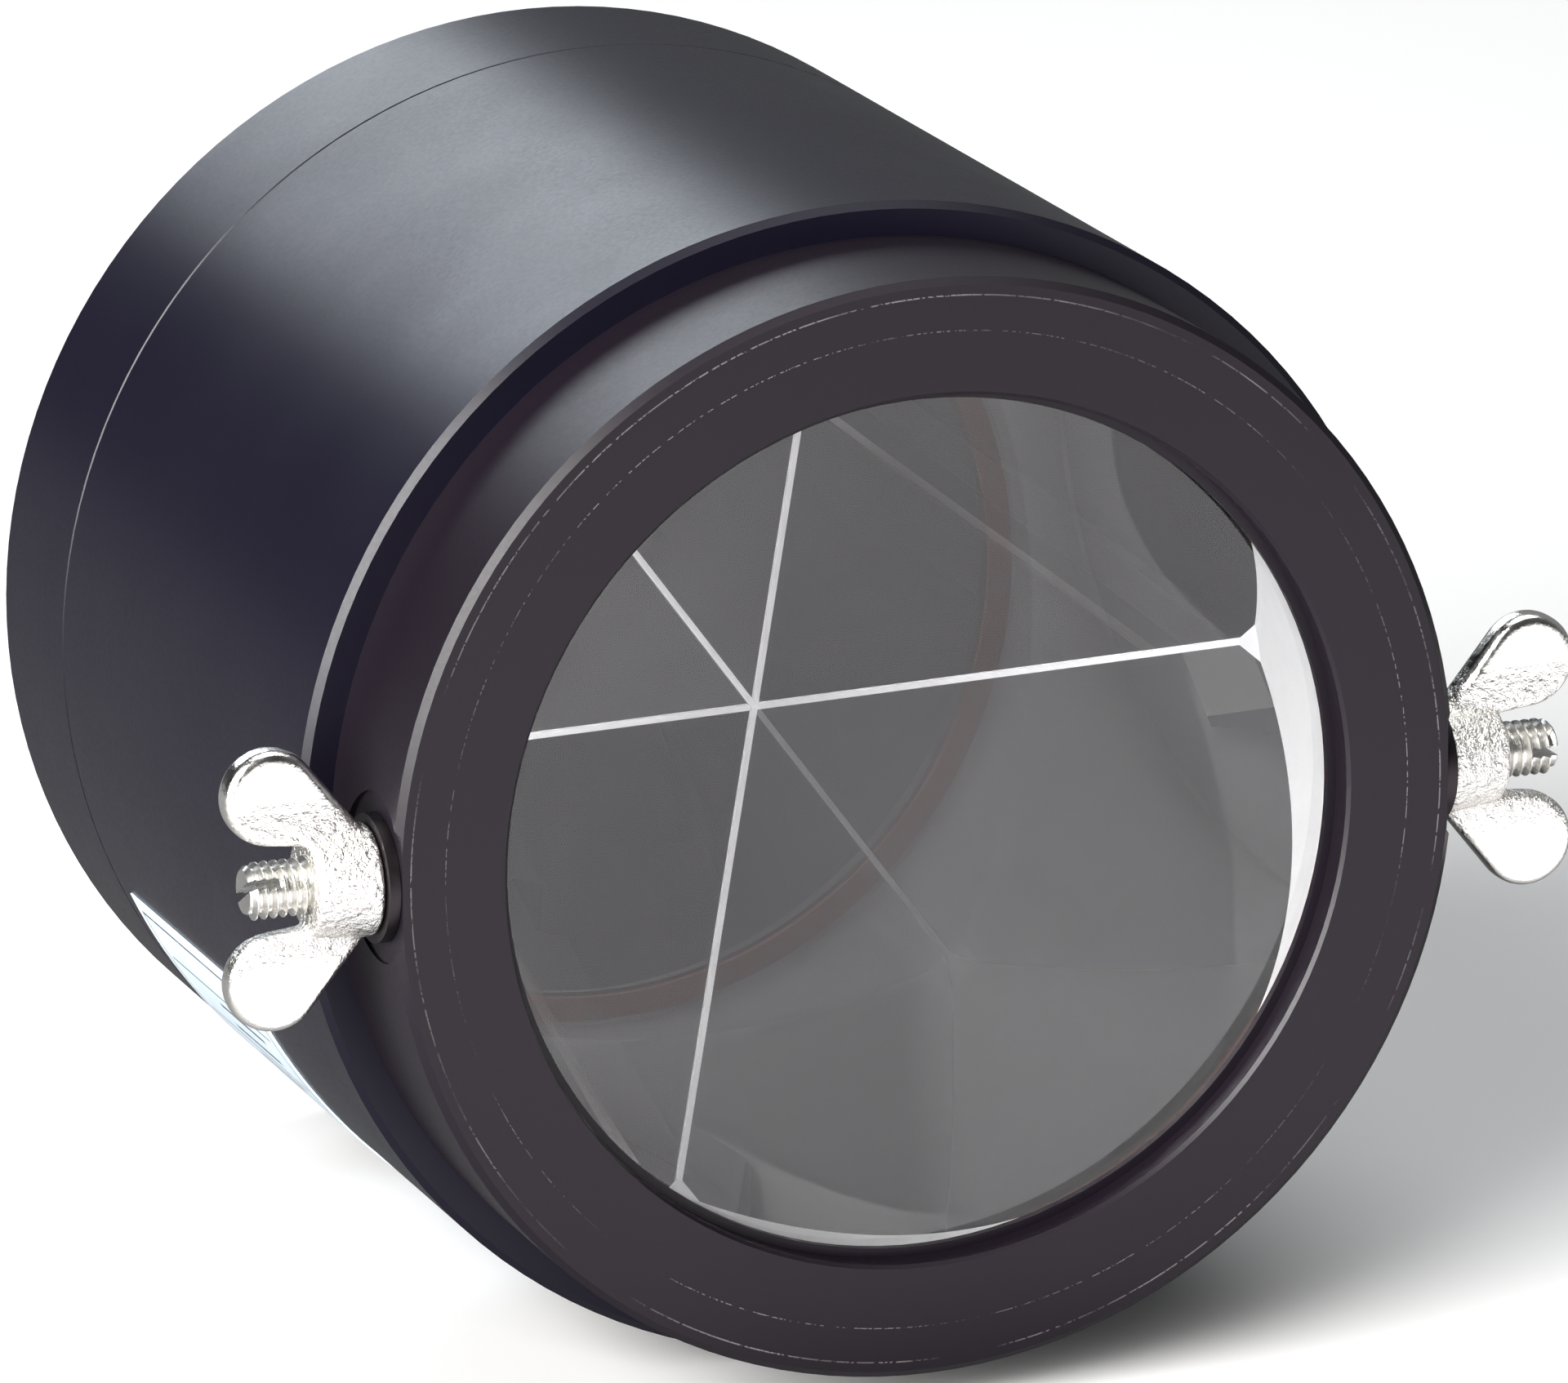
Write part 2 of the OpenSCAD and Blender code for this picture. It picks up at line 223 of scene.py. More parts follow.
world = bpy.data.worlds.new("room")
bpy.context.scene.world = world
tree = use_nodes(world)
direction = add(tree, "ShaderNodeTexCoord", (-900, 0))
split = add(tree, "ShaderNodeSeparateXYZ", (-700, 0))
depth = add(tree, "ShaderNodeMapRange", (-500, 0), interpolation_type="SMOOTHSTEP")
depth.inputs["From Min"].default_value = DIM_TO_Y
depth.inputs["From Max"].default_value = WALL_FROM_Y
depth.inputs["To Min"].default_value = DIM_ROOM
across = add(tree, "ShaderNodeMapRange", (-700, -250), interpolation_type="SMOOTHSTEP")
across.inputs["From Min"].default_value = -WALL_CHANGES_X
across.inputs["From Max"].default_value = WALL_CHANGES_X
across.inputs["To Min"].default_value = LEFT_WALL
across.inputs["To Max"].default_value = RIGHT_WALL
room = add(tree, "ShaderNodeBackground", (-250, 100))
room.inputs["Color"].default_value = ROOM_COLOUR
paper = add(tree, "ShaderNodeBackground", (-250, -100))
paper.inputs["Color"].default_value = (1, 1, 1, 1)
paper.inputs["Strength"].default_value = PAPER_STRENGTH
seen = add(tree, "ShaderNodeLightPath", (-500, 300))
choose = add(tree, "ShaderNodeMixShader", (0, 0))
out = add(tree, "ShaderNodeOutputWorld", (200, 0))
tree.links.new(direction.outputs["Generated"], split.inputs[0])
tree.links.new(split.outputs["X"], across.inputs["Value"])
tree.links.new(across.outputs["Result"], depth.inputs["To Max"])
tree.links.new(split.outputs["Y"], depth.inputs["Value"])
tree.links.new(depth.outputs["Result"], room.inputs["Strength"])
tree.links.new(seen.outputs["Is Camera Ray"], choose.inputs["Fac"])
tree.links.new(room.outputs[0], choose.inputs[1])
tree.links.new(paper.outputs[0], choose.inputs[2])
tree.links.new(choose.outputs[0], out.inputs["Surface"])
print("room made, walls", LEFT_WALL, "to", RIGHT_WALL)

# %% [markdown]
# ## Light paths
#
# A ray that enters a corner cube meets three faces and the front again before it leaves, and a few of its
# paths meet the side too. So glass needs many more bounces than metal or paper does.

# %% Allow enough bounces for the glass
scene = bpy.context.scene
scene.view_settings.view_transform = "Standard"
scene.cycles.max_bounces = 24
scene.cycles.transmission_bounces = 20
scene.cycles.glossy_bounces = 8
scene.cycles.diffuse_bounces = 4
print("bounces:", scene.cycles.max_bounces)

# %% [markdown]
# ## Soft boxes
#
# An area lamp is the nearest thing to a studio's soft box. Its size sets how soft the edges of a highlight
# are, so the back box is wide. The panel on the floor is small and weak, and it points upwards.

# %% Hang the lamps
def soft_box(name, place, size, power, colour=(1, 1, 1)):
    """An area lamp that looks at the object. It lights and reflects, and the camera doesn't see it."""
    data = bpy.data.lights.new(name, "AREA")
    data.shape = "RECTANGLE"
    data.size, data.size_y = size
    data.energy = power
    data.color = colour
    lamp = bpy.data.objects.new(name, data)
    lamp.location = place
    lamp.rotation_euler = (-Vector(place)).to_track_quat("-Z", "Y").to_euler()
    lamp.visible_camera = False
    bpy.context.scene.collection.objects.link(lamp)
    return lamp


PANEL_PLACE = (0.045, -0.14, FLOOR_Z + 0.5 * MM)
soft_box("back_box", (-0.12, 3.0, 1.52), size=(1.7, 0.95), power=30, colour=(0.86, 0.93, 1))
soft_box("top_box", (0.2, 0.1, 1.4), size=(1.2, 1.2), power=14)
soft_box("left_box", (-1.3, -0.76, 0.64), size=(1.3, 1.3), power=132, colour=(1, 0.99, 0.98))
front_panel = soft_box("front_panel", PANEL_PLACE, size=(0.21, 0.24), power=0.172, colour=(0.97, 0.92, 1))
front_panel.rotation_euler = (math.pi, 0, 0)

# %% [markdown]
# ## Finishes
#
# Each finish is a Principled shader with a little procedural detail on Object coordinates. They are in
# metres, so a noise scale of 1000 makes features about a millimetre across.

# %% Helpers that every finish uses
def new_finish(name, colour, roughness, **more):
    """A Principled material. Returns it with its tree, shader and object coordinates."""
    finish = bpy.data.materials.new(name)
    tree = use_nodes(finish)
    shader = add(tree, "ShaderNodeBsdfPrincipled")
    out = add(tree, "ShaderNodeOutputMaterial", (300, 0))
    tree.links.new(shader.outputs["BSDF"], out.inputs["Surface"])
    shader.inputs["Base Color"].default_value = (*colour, 1)
    shader.inputs["Roughness"].default_value = roughness
    for socket, value in more.items():
        shader.inputs[socket.replace("_", " ")].default_value = value
    place = add(tree, "ShaderNodeTexCoord", (-1400, 0)).outputs["Object"]
    return finish, tree, shader, place


def noise(tree, place, scale, detail=3, roughness=0.5):
    made = add(tree, "ShaderNodeTexNoise", (-900, 0))
    made.inputs["Scale"].default_value = scale
    made.inputs["Detail"].default_value = detail
    made.inputs["Roughness"].default_value = roughness
    tree.links.new(place, made.inputs["Vector"])
    return made.outputs["Fac"]


def remap(tree, value, low, high, to_low=0.0, to_high=1.0):
    made = add(tree, "ShaderNodeMapRange", (-600, 0))
    made.inputs["From Min"].default_value = low
    made.inputs["From Max"].default_value = high
    made.inputs["To Min"].default_value = to_low
    made.inputs["To Max"].default_value = to_high
    tree.links.new(value, made.inputs["Value"])
    return made.outputs["Result"]


def maths(tree, operation, a, b=None):
    """A Math node. Each input is another node's output or a plain number."""
    made = add(tree, "ShaderNodeMath", (-700, -200), operation=operation)
    for socket, value in zip(made.inputs, (a, b)):
        if isinstance(value, (int, float)):
            socket.default_value = value
        elif value is not None:
            tree.links.new(value, socket)
    return made.outputs[0]


def mix_rgb(tree, factor, a, b):
    """Mixes two colours, each a tuple or another node's output. The node's colour sockets are 6, 7 and 2."""
    made = add(tree, "ShaderNodeMix", (-300, 0), data_type="RGBA")
    tree.links.new(factor, made.inputs[0])
    for socket, value in ((made.inputs[6], a), (made.inputs[7], b)):
        if isinstance(value, tuple):
            socket.default_value = (*value, 1)
        else:
            tree.links.new(value, socket)
    return made.outputs[2]


def bump(tree, shader, height, strength, distance):
    made = add(tree, "ShaderNodeBump", (-300, -300))
    made.inputs["Strength"].default_value = strength
    made.inputs["Distance"].default_value = distance
    tree.links.new(height, made.inputs["Height"])
    tree.links.new(made.outputs["Normal"], shader.inputs["Normal"])


def radius_of(tree, place, axis="Y"):
    """Distance from the axis, in metres, and the node that holds the three coordinates."""
    split = add(tree, "ShaderNodeSeparateXYZ", (-1200, 0))
    tree.links.new(place, split.inputs[0])
    first, second = [split.outputs[n] for n in "XYZ" if n != axis]
    squares = maths(tree, "ADD", maths(tree, "POWER", first, 2.0), maths(tree, "POWER", second, 2.0))
    return maths(tree, "SQRT", squares), split


# %% [markdown]
# ## Black anodising
#
# Anodising turns the skin of the aluminium into a hard dyed oxide. It is darker than paint and satin, with
# a fine grain from the blasting before the bath. Its shine is weak, so the index of refraction is set lower
# than for lacquer. Handling leaves light specks, and a cover that was pushed on and off has left two broken
# hairlines round the front ring. Inside the canister nothing rubs, so grain and marks stay on the outer
# skin.

# %% Make the anodised finishes
ANODISED_IOR = 1.32
GRAIN_SCALE = 2600
GRAIN_HEIGHT = 0.02 * MM
CLOUD_SCALE = 60
SPECK_CELL = 3.7 * MM
SPECK_SIZE = 0.06 * MM
SPECK_SHARE = 0.16
MARK_COLOUR = (0.3, 0.29, 0.29)
INSIDE_GREY = (0.008, 0.008, 0.009)
COLLAR_BLACK = (0.0046, 0.0028, 0.0054)
BARREL_BLACK = (0.0030, 0.0024, 0.0066)
COLLAR_ROUGHNESS = 0.4
BARREL_ROUGHNESS = 0.35
SKIN_T = 1 * MM
FACE_T = 0.1 * MM
WEAR_RINGS = [(35.8 * MM, 0.07 * MM, 0.5), (38.3 * MM, 0.1 * MM, 0.55)]  # radius, width and share left bright


def dust(tree, place, cell, size, share):
    """White specks: one in each of a share of the cells."""
    cells = add(tree, "ShaderNodeTexVoronoi", (-900, -500))
    cells.inputs["Scale"].default_value = 1 / cell
    tree.links.new(place, cells.inputs["Vector"])
    lucky = add(tree, "ShaderNodeSeparateColor", (-700, -500))
    tree.links.new(cells.outputs["Color"], lucky.inputs[0])
    near = maths(tree, "LESS_THAN", cells.outputs["Distance"], size / cell)
    chosen = maths(tree, "LESS_THAN", lucky.outputs[0], share)
    return maths(tree, "MULTIPLY", near, chosen)


def hairline(tree, place, radius, ring):
    """A broken bright line round the front ring."""
    ring_radius, width, share = ring
    off = maths(tree, "ABSOLUTE", maths(tree, "SUBTRACT", radius, ring_radius))
    on_ring = maths(tree, "LESS_THAN", off, width / 2)
    broken = maths(tree, "GREATER_THAN", noise(tree, place, 3600, 3), 1 - share)
    return maths(tree, "MULTIPLY", on_ring, broken)


def anodised(name, colour, roughness, skin_radius, skin_y, wear_rings=()):
    """Satin black on the skin, which is what lies past the radius or before skin_y. The inside is plain."""
    finish, tree, shader, place = new_finish(name, colour, roughness, IOR=ANODISED_IOR)
    grain = noise(tree, place, GRAIN_SCALE, 4, 0.6)
    cloud = noise(tree, place, CLOUD_SCALE, 3)
    radius, split = radius_of(tree, place)
    front = maths(tree, "LESS_THAN", split.outputs["Y"], FRONT_Y + FACE_T)
    near = maths(tree, "LESS_THAN", split.outputs["Y"], skin_y)
    skin = maths(tree, "MAXIMUM", near, maths(tree, "GREATER_THAN", radius, skin_radius))
    fine = remap(tree, grain, 0.3, 0.7, -0.03, 0.03)
    uneven = maths(tree, "ADD", fine, remap(tree, cloud, 0.3, 0.7, -0.02, 0.03))
    varied = maths(tree, "ADD", maths(tree, "MULTIPLY", uneven, skin), roughness)
    tree.links.new(varied, shader.inputs["Roughness"])
    marks = maths(tree, "MULTIPLY", dust(tree, place, SPECK_CELL, SPECK_SIZE, SPECK_SHARE), skin)
    for ring in wear_rings:
        worn = remap(tree, noise(tree, place, 90, 3), 0.4, 0.65, 0, 0.3)
        patchy = maths(tree, "MULTIPLY", worn, front)
        line = maths(tree, "MULTIPLY", hairline(tree, place, radius, ring), patchy)
        marks = maths(tree, "MAXIMUM", marks, line)
    body = mix_rgb(tree, skin, INSIDE_GREY, colour)
    tree.links.new(mix_rgb(tree, marks, body, MARK_COLOUR), shader.inputs["Base Color"])
    bump(tree, shader, maths(tree, "MULTIPLY", grain, skin), 0.12, GRAIN_HEIGHT)
    return finish


collar_black = anodised("black_anodised_collar", COLLAR_BLACK, COLLAR_ROUGHNESS, COLLAR_R - SKIN_T,
                        prism_low.y, WEAR_RINGS)
barrel_black = anodised("black_anodised_barrel", BARREL_BLACK, BARREL_ROUGHNESS, BARREL_R - SKIN_T,
                        barrel_low.y + SKIN_T / 2)
print("anodised:", collar_black.name, "and", barrel_black.name)

# %% [markdown]
# ## Glass, polished and ground
#
# Crown glass bends light by an index of 1.5168, and a polished face is smooth enough to mirror all of the
# light that meets it from inside at a slant. A ground face has the same glass under thousands of tiny
# chips, so it looks like white paper. Clear glass needs no pattern. Its values are plain, so that it stays
# glass in any viewer.

# %% Make the two kinds of glass
CROWN_IOR = 1.5168


def ground_glass():
    """A fine-ground surface scatters light like white paper, with a slight sheen."""
    finish, tree, shader, place = new_finish("ground_glass", (0.93, 0.94, 0.94), 0.7)
    grain = noise(tree, place, 4000, 3, 0.6)
    shade = remap(tree, noise(tree, place, 500, 3), 0.3, 0.7)
    tree.links.new(mix_rgb(tree, shade, (0.92, 0.93, 0.94), (0.97, 0.98, 0.99)), shader.inputs["Base Color"])
    bump(tree, shader, grain, 0.3, 0.01 * MM)
    return finish


glass = new_finish("optical_glass", (1, 1, 1), 0.0, IOR=CROWN_IOR, Transmission_Weight=1.0)[0]
ground = ground_glass()
print("glass:", glass.name, "and", ground.name)

# %% [markdown]
# ## Rubber, steel and nickel
#
# The gasket is red-brown fibre rubber, and its flecks follow the same noise as its bumps. Turned steel has
# fine grooves round its axis, which a sine of the radius draws, with a little wobble so that they don't
# look ruled. The wing nuts are nickel over a rough casting: smooth where fingers and tumbling wear them,
# pebbled at the hub.

# %% Make the rubber and the metals
def rubber(name, colour, roughness, fleck=None):
    """Matt rubber with a fine grain. A fleck colour shows on the high spots."""
    finish, tree, shader, place = new_finish(name, colour, roughness)
    grain = noise(tree, place, 1800, 4, 0.6)
    if fleck:
        high_spots = remap(tree, grain, 0.42, 0.62)
        tree.links.new(mix_rgb(tree, high_spots, colour, fleck), shader.inputs["Base Color"])
    bump(tree, shader, grain, 0.4, 0.03 * MM)
    return finish


def turned_metal(name, colour, roughness, groove, axis="Y"):
    """Bare metal off the lathe, with fine grooves round its axis."""
    finish, tree, shader, place = new_finish(name, colour, roughness, Metallic=1.0)
    radius, split = radius_of(tree, place, axis)
    along = maths(tree, "ADD", radius, split.outputs[axis])
    wobble = maths(tree, "MULTIPLY", noise(tree, place, 300, 2), groove)
    place_in_turn = maths(tree, "MULTIPLY", maths(tree, "ADD", along, wobble), 2 * math.pi / groove)
    turns = maths(tree, "SINE", place_in_turn)
    shade = remap(tree, noise(tree, place, 700, 3), 0.3, 0.7, roughness - 0.05, roughness + 0.06)
    tree.links.new(shade, shader.inputs["Roughness"])
    bump(tree, shader, turns, 0.25, 0.01 * MM)
    return finish


def cast_nickel():
    """Bright plating over a casting: smooth on the wings, pebbled on the hub."""
    finish, tree, shader, place = new_finish("nickel_plate", (0.93, 0.91, 0.87), 0.16, Metallic=1.0)
    pebble = noise(tree, place, 1500, 4, 0.65)
    radius, split = radius_of(tree, place, "X")
    near_hub = remap(tree, radius, 3.2 * MM, 6.5 * MM, 1, 0.12)
    tree.links.new(remap(tree, pebble, 0.35, 0.65, 0.12, 0.24), shader.inputs["Roughness"])
    bump(tree, shader, maths(tree, "MULTIPLY", pebble, near_hub), 1.0, 0.5 * MM)
    return finish


gasket_rubber = rubber("red_brown_gasket", (0.52, 0.13, 0.08), 0.7, (0.74, 0.25, 0.16))
black_rubber = rubber("black_rubber", (0.02, 0.02, 0.02), 0.6)
spring_steel = turned_metal("spring_steel", (0.3, 0.29, 0.28), 0.35, 0.3 * MM)
thread_steel = turned_metal("stainless_thread", (0.72, 0.71, 0.68), 0.26, 0.05 * MM, "X")
dark_steel = turned_metal("dark_washer", (0.035, 0.03, 0.033), 0.42, 0.15 * MM, "X")
nickel = cast_nickel()
print("materials:", len(bpy.data.materials))

# %% [markdown]
# ## The label
#
# The label is a thin film wrapped round the barrel. Its print only has to look like a form: a dark frame
# line and a few ruled rows with short bars, no letters. Round a barrel the pattern reads the angle, not X
# or Z, so that the lines follow the wrap.

# %% Make the label film
LABEL_UPPER = math.radians(205)
LABEL_HEIGHT = 40 * MM
FRAME_OUTER = 1.1 * MM
FRAME_INNER = 1.4 * MM
ROW_HEIGHT = 2.5 * MM
RULE_WIDTH = 0.12 * MM
BAR_BAND = (1.2 * MM, 1.7 * MM)
BAR_ENDS = (6 * MM, 16 * MM)
INK = (0.04, 0.05, 0.08)


def label_film():
    """Satin film, pale blue, with the form printed on it."""
    finish, tree, shader, place = new_finish("label_film", (0.62, 0.72, 0.80), 0.35, Coat_Weight=0.3)
    split = add(tree, "ShaderNodeSeparateXYZ", (-1200, 0))
    tree.links.new(place, split.inputs[0])
    angle = maths(tree, "ARCTAN2", split.outputs["Z"], split.outputs["X"])
    down = maths(tree, "MULTIPLY", maths(tree, "ADD", angle, 2 * math.pi - LABEL_UPPER), BARREL_R)
    along = maths(tree, "SUBTRACT", split.outputs["Y"], label_low.y)
    width = label_high.y - label_low.y

    def between(value, low, high):
        above = maths(tree, "GREATER_THAN", value, low)
        return maths(tree, "MULTIPLY", above, maths(tree, "LESS_THAN", value, high))

    def panel(inset):
        inside_down = between(down, inset, LABEL_HEIGHT - inset)
        return maths(tree, "MULTIPLY", inside_down, between(along, inset, width - inset))

    frame_line = maths(tree, "SUBTRACT", panel(FRAME_OUTER), panel(FRAME_INNER))
    rows = maths(tree, "PINGPONG", down, ROW_HEIGHT)
    ruled = maths(tree, "MULTIPLY", maths(tree, "LESS_THAN", rows, RULE_WIDTH), panel(ROW_HEIGHT))
    bars = maths(tree, "MULTIPLY", between(rows, *BAR_BAND), between(along, *BAR_ENDS))
    bars = maths(tree, "MULTIPLY", bars, panel(4 * MM))
    print_mask = maths(tree, "MAXIMUM", maths(tree, "MAXIMUM", frame_line, ruled), bars)
    fade = remap(tree, noise(tree, place, 900, 3), 0.3, 0.5, 0.7, 1)
    cloudy = remap(tree, noise(tree, place, 120, 3), 0.3, 0.7)
    film = mix_rgb(tree, cloudy, (0.56, 0.68, 0.78), (0.66, 0.76, 0.84))
    inked = mix_rgb(tree, maths(tree, "MULTIPLY", print_mask, fade), film, INK)
    tree.links.new(inked, shader.inputs["Base Color"])
    bump(tree, shader, noise(tree, place, 400, 3), 0.15, 0.05 * MM)
    return finish


label_finish = label_film()
print(f"label: {(label_high.y - label_low.y) / MM:.1f} mm wide")

# %% [markdown]
# ## Dressing the turned parts
#
# The turned parts keep the meshes that they came with. Each only gets its finish, in every slot that it
# has.

# %% Dress the design's own parts
FINISH_OF = {
    "collar": collar_black, "barrel": barrel_black, "rear_cap": barrel_black,
    "seat_gasket": gasket_rubber, "label": label_finish,
    "pad_right": black_rubber, "pad_top": black_rubber, "pad_bottom": black_rubber,
    "pressure_ring": collar_black, "disc_spring": spring_steel, "lock_ring": collar_black,
    "collar_o_ring": black_rubber, "cap_o_ring": black_rubber,
    "washer_right": dark_steel, "washer_left": dark_steel,
}
for node_name, finish in FINISH_OF.items():
    for material_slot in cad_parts[node_name].material_slots:
        material_slot.material = finish
print("dressed", len(FINISH_OF), "parts")

# %% [markdown]
# ## Making new pieces
#
# A new piece is drawn in a bmesh with the same operators as in edit mode, written to a mesh, shaded smooth
# with its real corners kept sharp, and tied to the body it moves with.

# %% Helpers for new pieces
MERGE_DISTANCE = 0.001 * MM
CUT_DISTANCE = 1e-7


def finish_piece(bm, name, body, stands_for, finishes, sharp=30):
    """Writes a bmesh to a new piece. Its normals are recalculated after its doubles are merged."""
    bmesh.ops.remove_doubles(bm, verts=bm.verts, dist=MERGE_DISTANCE)
    bmesh.ops.recalc_face_normals(bm, faces=bm.faces)
    for face in bm.faces:
        face.smooth = True
    for edge in bm.edges:
        edge.smooth = not edge.is_manifold or edge.calc_face_angle() < math.radians(sharp)
    mesh = bpy.data.meshes.new(name)
    bm.to_mesh(mesh)
    bm.free()
    piece = bpy.data.objects.new(name, mesh)
    bpy.context.scene.collection.objects.link(piece)
    for finish in finishes:
        mesh.materials.append(finish)
    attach(piece, body)
    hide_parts(stands_for)
    return piece


def slice_off(bm, point, normal):
    """Cuts away what lies beyond a plane and closes the cut with one flat face."""
    everything = bm.verts[:] + bm.edges[:] + bm.faces[:]
    cut = bmesh.ops.bisect_plane(bm, geom=everything, dist=CUT_DISTANCE, plane_co=point, plane_no=normal,
                                 clear_outer=True)
    rim = [e for e in cut["geom_cut"] if isinstance(e, bmesh.types.BMEdge)]
    bmesh.ops.contextual_create(bm, geom=rim)


def soften(bm, edges, width, segments=3):
    """Rounds edges, or chamfers them with one segment."""
    bmesh.ops.bevel(bm, geom=edges, offset=width, offset_type="OFFSET", affect="EDGES", segments=segments,
                    profile=0.5, material=-1, clamp_overlap=True)


# %% [markdown]
# ## The corner cube
#
# The glass is cut from a round rod, as in the workshop: three planes at right angles to each other meet at
# the apex, each roof edge gets a narrow ground flat, and the three sharp corners at the rim are blunted. So
# the model starts as a cylinder too, and bisect_plane does the sawing. Only the round front and the three
# big faces are polished. The side, the flats and the bevels stay ground, and they are what shows white.

# %% Cut the prism
PRISM_R = prism_high.x
GLASS_Y = prism_low.y
BELT = 4.33 * MM  # the round side's least height, where the big faces come furthest forward
ROD_LENGTH = 60 * MM
ROD_SIDES = 256
APEX = Vector((0, GLASS_Y + BELT + PRISM_R * math.sqrt(2), 0))
ROOF_EDGES = [math.radians(9.4 + 120 * i) for i in range(3)]
ROOF_FLAT = 0.45 * MM
RIM_BEVEL = 0.3 * MM
CORNER_CUT = 1.1 * MM
CORNER_TILT = math.radians(23)
SAME_WAY = 0.99999


def leaning(azimuth, outward, rearward):
    """A direction with an outward and a rearward share."""
    return Vector((outward * math.cos(azimuth), rearward, outward * math.sin(azimuth)))


def cut_prism():
    """Saws the corner cube out of a rod. Polished faces get the first finish and ground ones the second."""
    bm = bmesh.new()
    turn = Matrix.Translation((0, GLASS_Y + ROD_LENGTH / 2, 0)) @ Matrix.Rotation(math.pi / 2, 4, "X")
    bmesh.ops.create_cone(bm, cap_ends=True, segments=ROD_SIDES, radius1=PRISM_R, radius2=PRISM_R,
                          depth=ROD_LENGTH, matrix=turn)
    rim = [e for e in bm.edges if all(v.co.y < GLASS_Y + RIM_BEVEL for v in e.verts)]
    soften(bm, rim, RIM_BEVEL, 1)
    face_ways = [leaning(e + math.pi / 3, math.sqrt(2 / 3), math.sqrt(1 / 3)) for e in ROOF_EDGES]
    for way in face_ways:
        slice_off(bm, APEX, way)
    for azimuth in ROOF_EDGES:
        flat_way = leaning(azimuth, math.sqrt(1 / 3), math.sqrt(2 / 3))
        slice_off(bm, APEX - flat_way * ROOF_FLAT / 2, flat_way)
        reach = PRISM_R - CORNER_CUT
        corner = leaning(azimuth, reach, APEX.y - reach / math.sqrt(2))
        slice_off(bm, corner, leaning(azimuth, math.cos(CORNER_TILT), math.sin(CORNER_TILT)))
    bmesh.ops.recalc_face_normals(bm, faces=bm.faces)
    polished = [*face_ways, Vector((0, -1, 0))]
    for face in bm.faces:
        face.material_index = 0 if any(face.normal.dot(way) > SAME_WAY for way in polished) else 1
    return bm


prism = finish_piece(cut_prism(), "corner_cube", "canister", "prism", [glass, ground],
                     sharp=10)
print("corner cube:", len(prism.data.polygons), "faces, ground:",
      sum(p.material_index == 1 for p in prism.data.polygons))

# %% [markdown]
# ## The threaded studs
#
# A screw thread is one pitch of its profile, swept round while it moves along. The spin operator does both
# at once: dvec is the move for each step. Neighbouring turns share their edge points, so merging doubles
# joins them into one skin, and two planes cut the rod to length. Modelled threads catch the light as real
# ones do, which a bump pattern can't do along the outline.

# %% Thread a rod
PITCH = 0.7 * MM
THREAD_DEPTH = 0.61 * PITCH
STEPS = 48
stud_low, stud_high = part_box("stud_right")
STUD_TIP_X = stud_high.x
STUD_ROOT_X = stud_low.x
STUD_R = stud_high.z
PROFILE_MERGE = 0.002 * MM
STUD_TIP_CHAMFER = 0.45 * MM
SLOT_W = 0.7 * MM
SLOT_DEPTH = 2.2 * MM
SLOT_TURN = {"right": 0.0, "left": math.radians(150)}


def threaded_rod(start, end):
    """A rod with a helical thread along X. The profile's points are shares of a pitch, at root or crest."""
    bm = bmesh.new()
    root, crest = STUD_R - THREAD_DEPTH, STUD_R
    profile = [(0, root), (0.25, root), (0.5625, crest), (0.6875, crest), (1, root)]
    points = [bm.verts.new((start + (t - 1) * PITCH, 0, r)) for t, r in profile]
    edges = [bm.edges.new(pair) for pair in zip(points, points[1:])]
    turns = math.ceil((end - start) / PITCH) + 2
    bmesh.ops.spin(bm, geom=points + edges, cent=(0, 0, 0), axis=(1, 0, 0), dvec=(PITCH / STEPS, 0, 0),
                   angle=2 * math.pi * turns, steps=STEPS * turns)
    bmesh.ops.remove_doubles(bm, verts=bm.verts, dist=PROFILE_MERGE)
    for vert in bm.verts:
        limit = STUD_R - max(0, vert.co.x - (end - STUD_TIP_CHAMFER))
        radius = math.hypot(vert.co.y, vert.co.z)
        if radius > limit:
            vert.co.y *= limit / radius
            vert.co.z *= limit / radius
    slice_off(bm, Vector((end, 0, 0)), Vector((1, 0, 0)))
    slice_off(bm, Vector((start, 0, 0)), Vector((-1, 0, 0)))
    return bm


# %% [markdown]
# ## Cutting with another shape
#
# A screwdriver slot is sawn across the finished thread. Cutting through a helix by hand would take many
# steps, so a Boolean modifier does it: a block stands where the saw goes, and what it covers is taken away.
# The result is written back to the piece at once, and the block is removed.

# %% Tools that cut
def box_tool(size, place, turn):
    """A block that saws the screwdriver slot."""
    bm = bmesh.new()
    bmesh.ops.create_cube(bm, size=1)
    bmesh.ops.scale(bm, vec=size, verts=bm.verts)
    bmesh.ops.translate(bm, vec=place, verts=bm.verts)
    bmesh.ops.transform(bm, matrix=turn, verts=bm.verts)
    return tool_object(bm)


def tool_object(bm):
    """Holds a cutting tool until its cut is made."""
    mesh = bpy.data.meshes.new("tool")
    bm.to_mesh(mesh)
    bm.free()
    tool = bpy.data.objects.new("tool", mesh)
    bpy.context.scene.collection.objects.link(tool)
    return tool


def apply_modifiers(piece):
    """Makes the modified shape the piece's own mesh."""
    bpy.context.view_layer.update()
    done = bpy.data.meshes.new_from_object(piece.evaluated_get(bpy.context.evaluated_depsgraph_get()))
    old = piece.data
    piece.modifiers.clear()
    piece.data = done
    bpy.data.meshes.remove(old)


def cut_away(piece, tool):
    """Takes the tool's shape out of the piece, for good."""
    cut = piece.modifiers.new("cut", "BOOLEAN")
    cut.operation = "DIFFERENCE"
    cut.solver = "EXACT"
    cut.object = tool
    apply_modifiers(piece)
    bpy.data.objects.remove(tool)


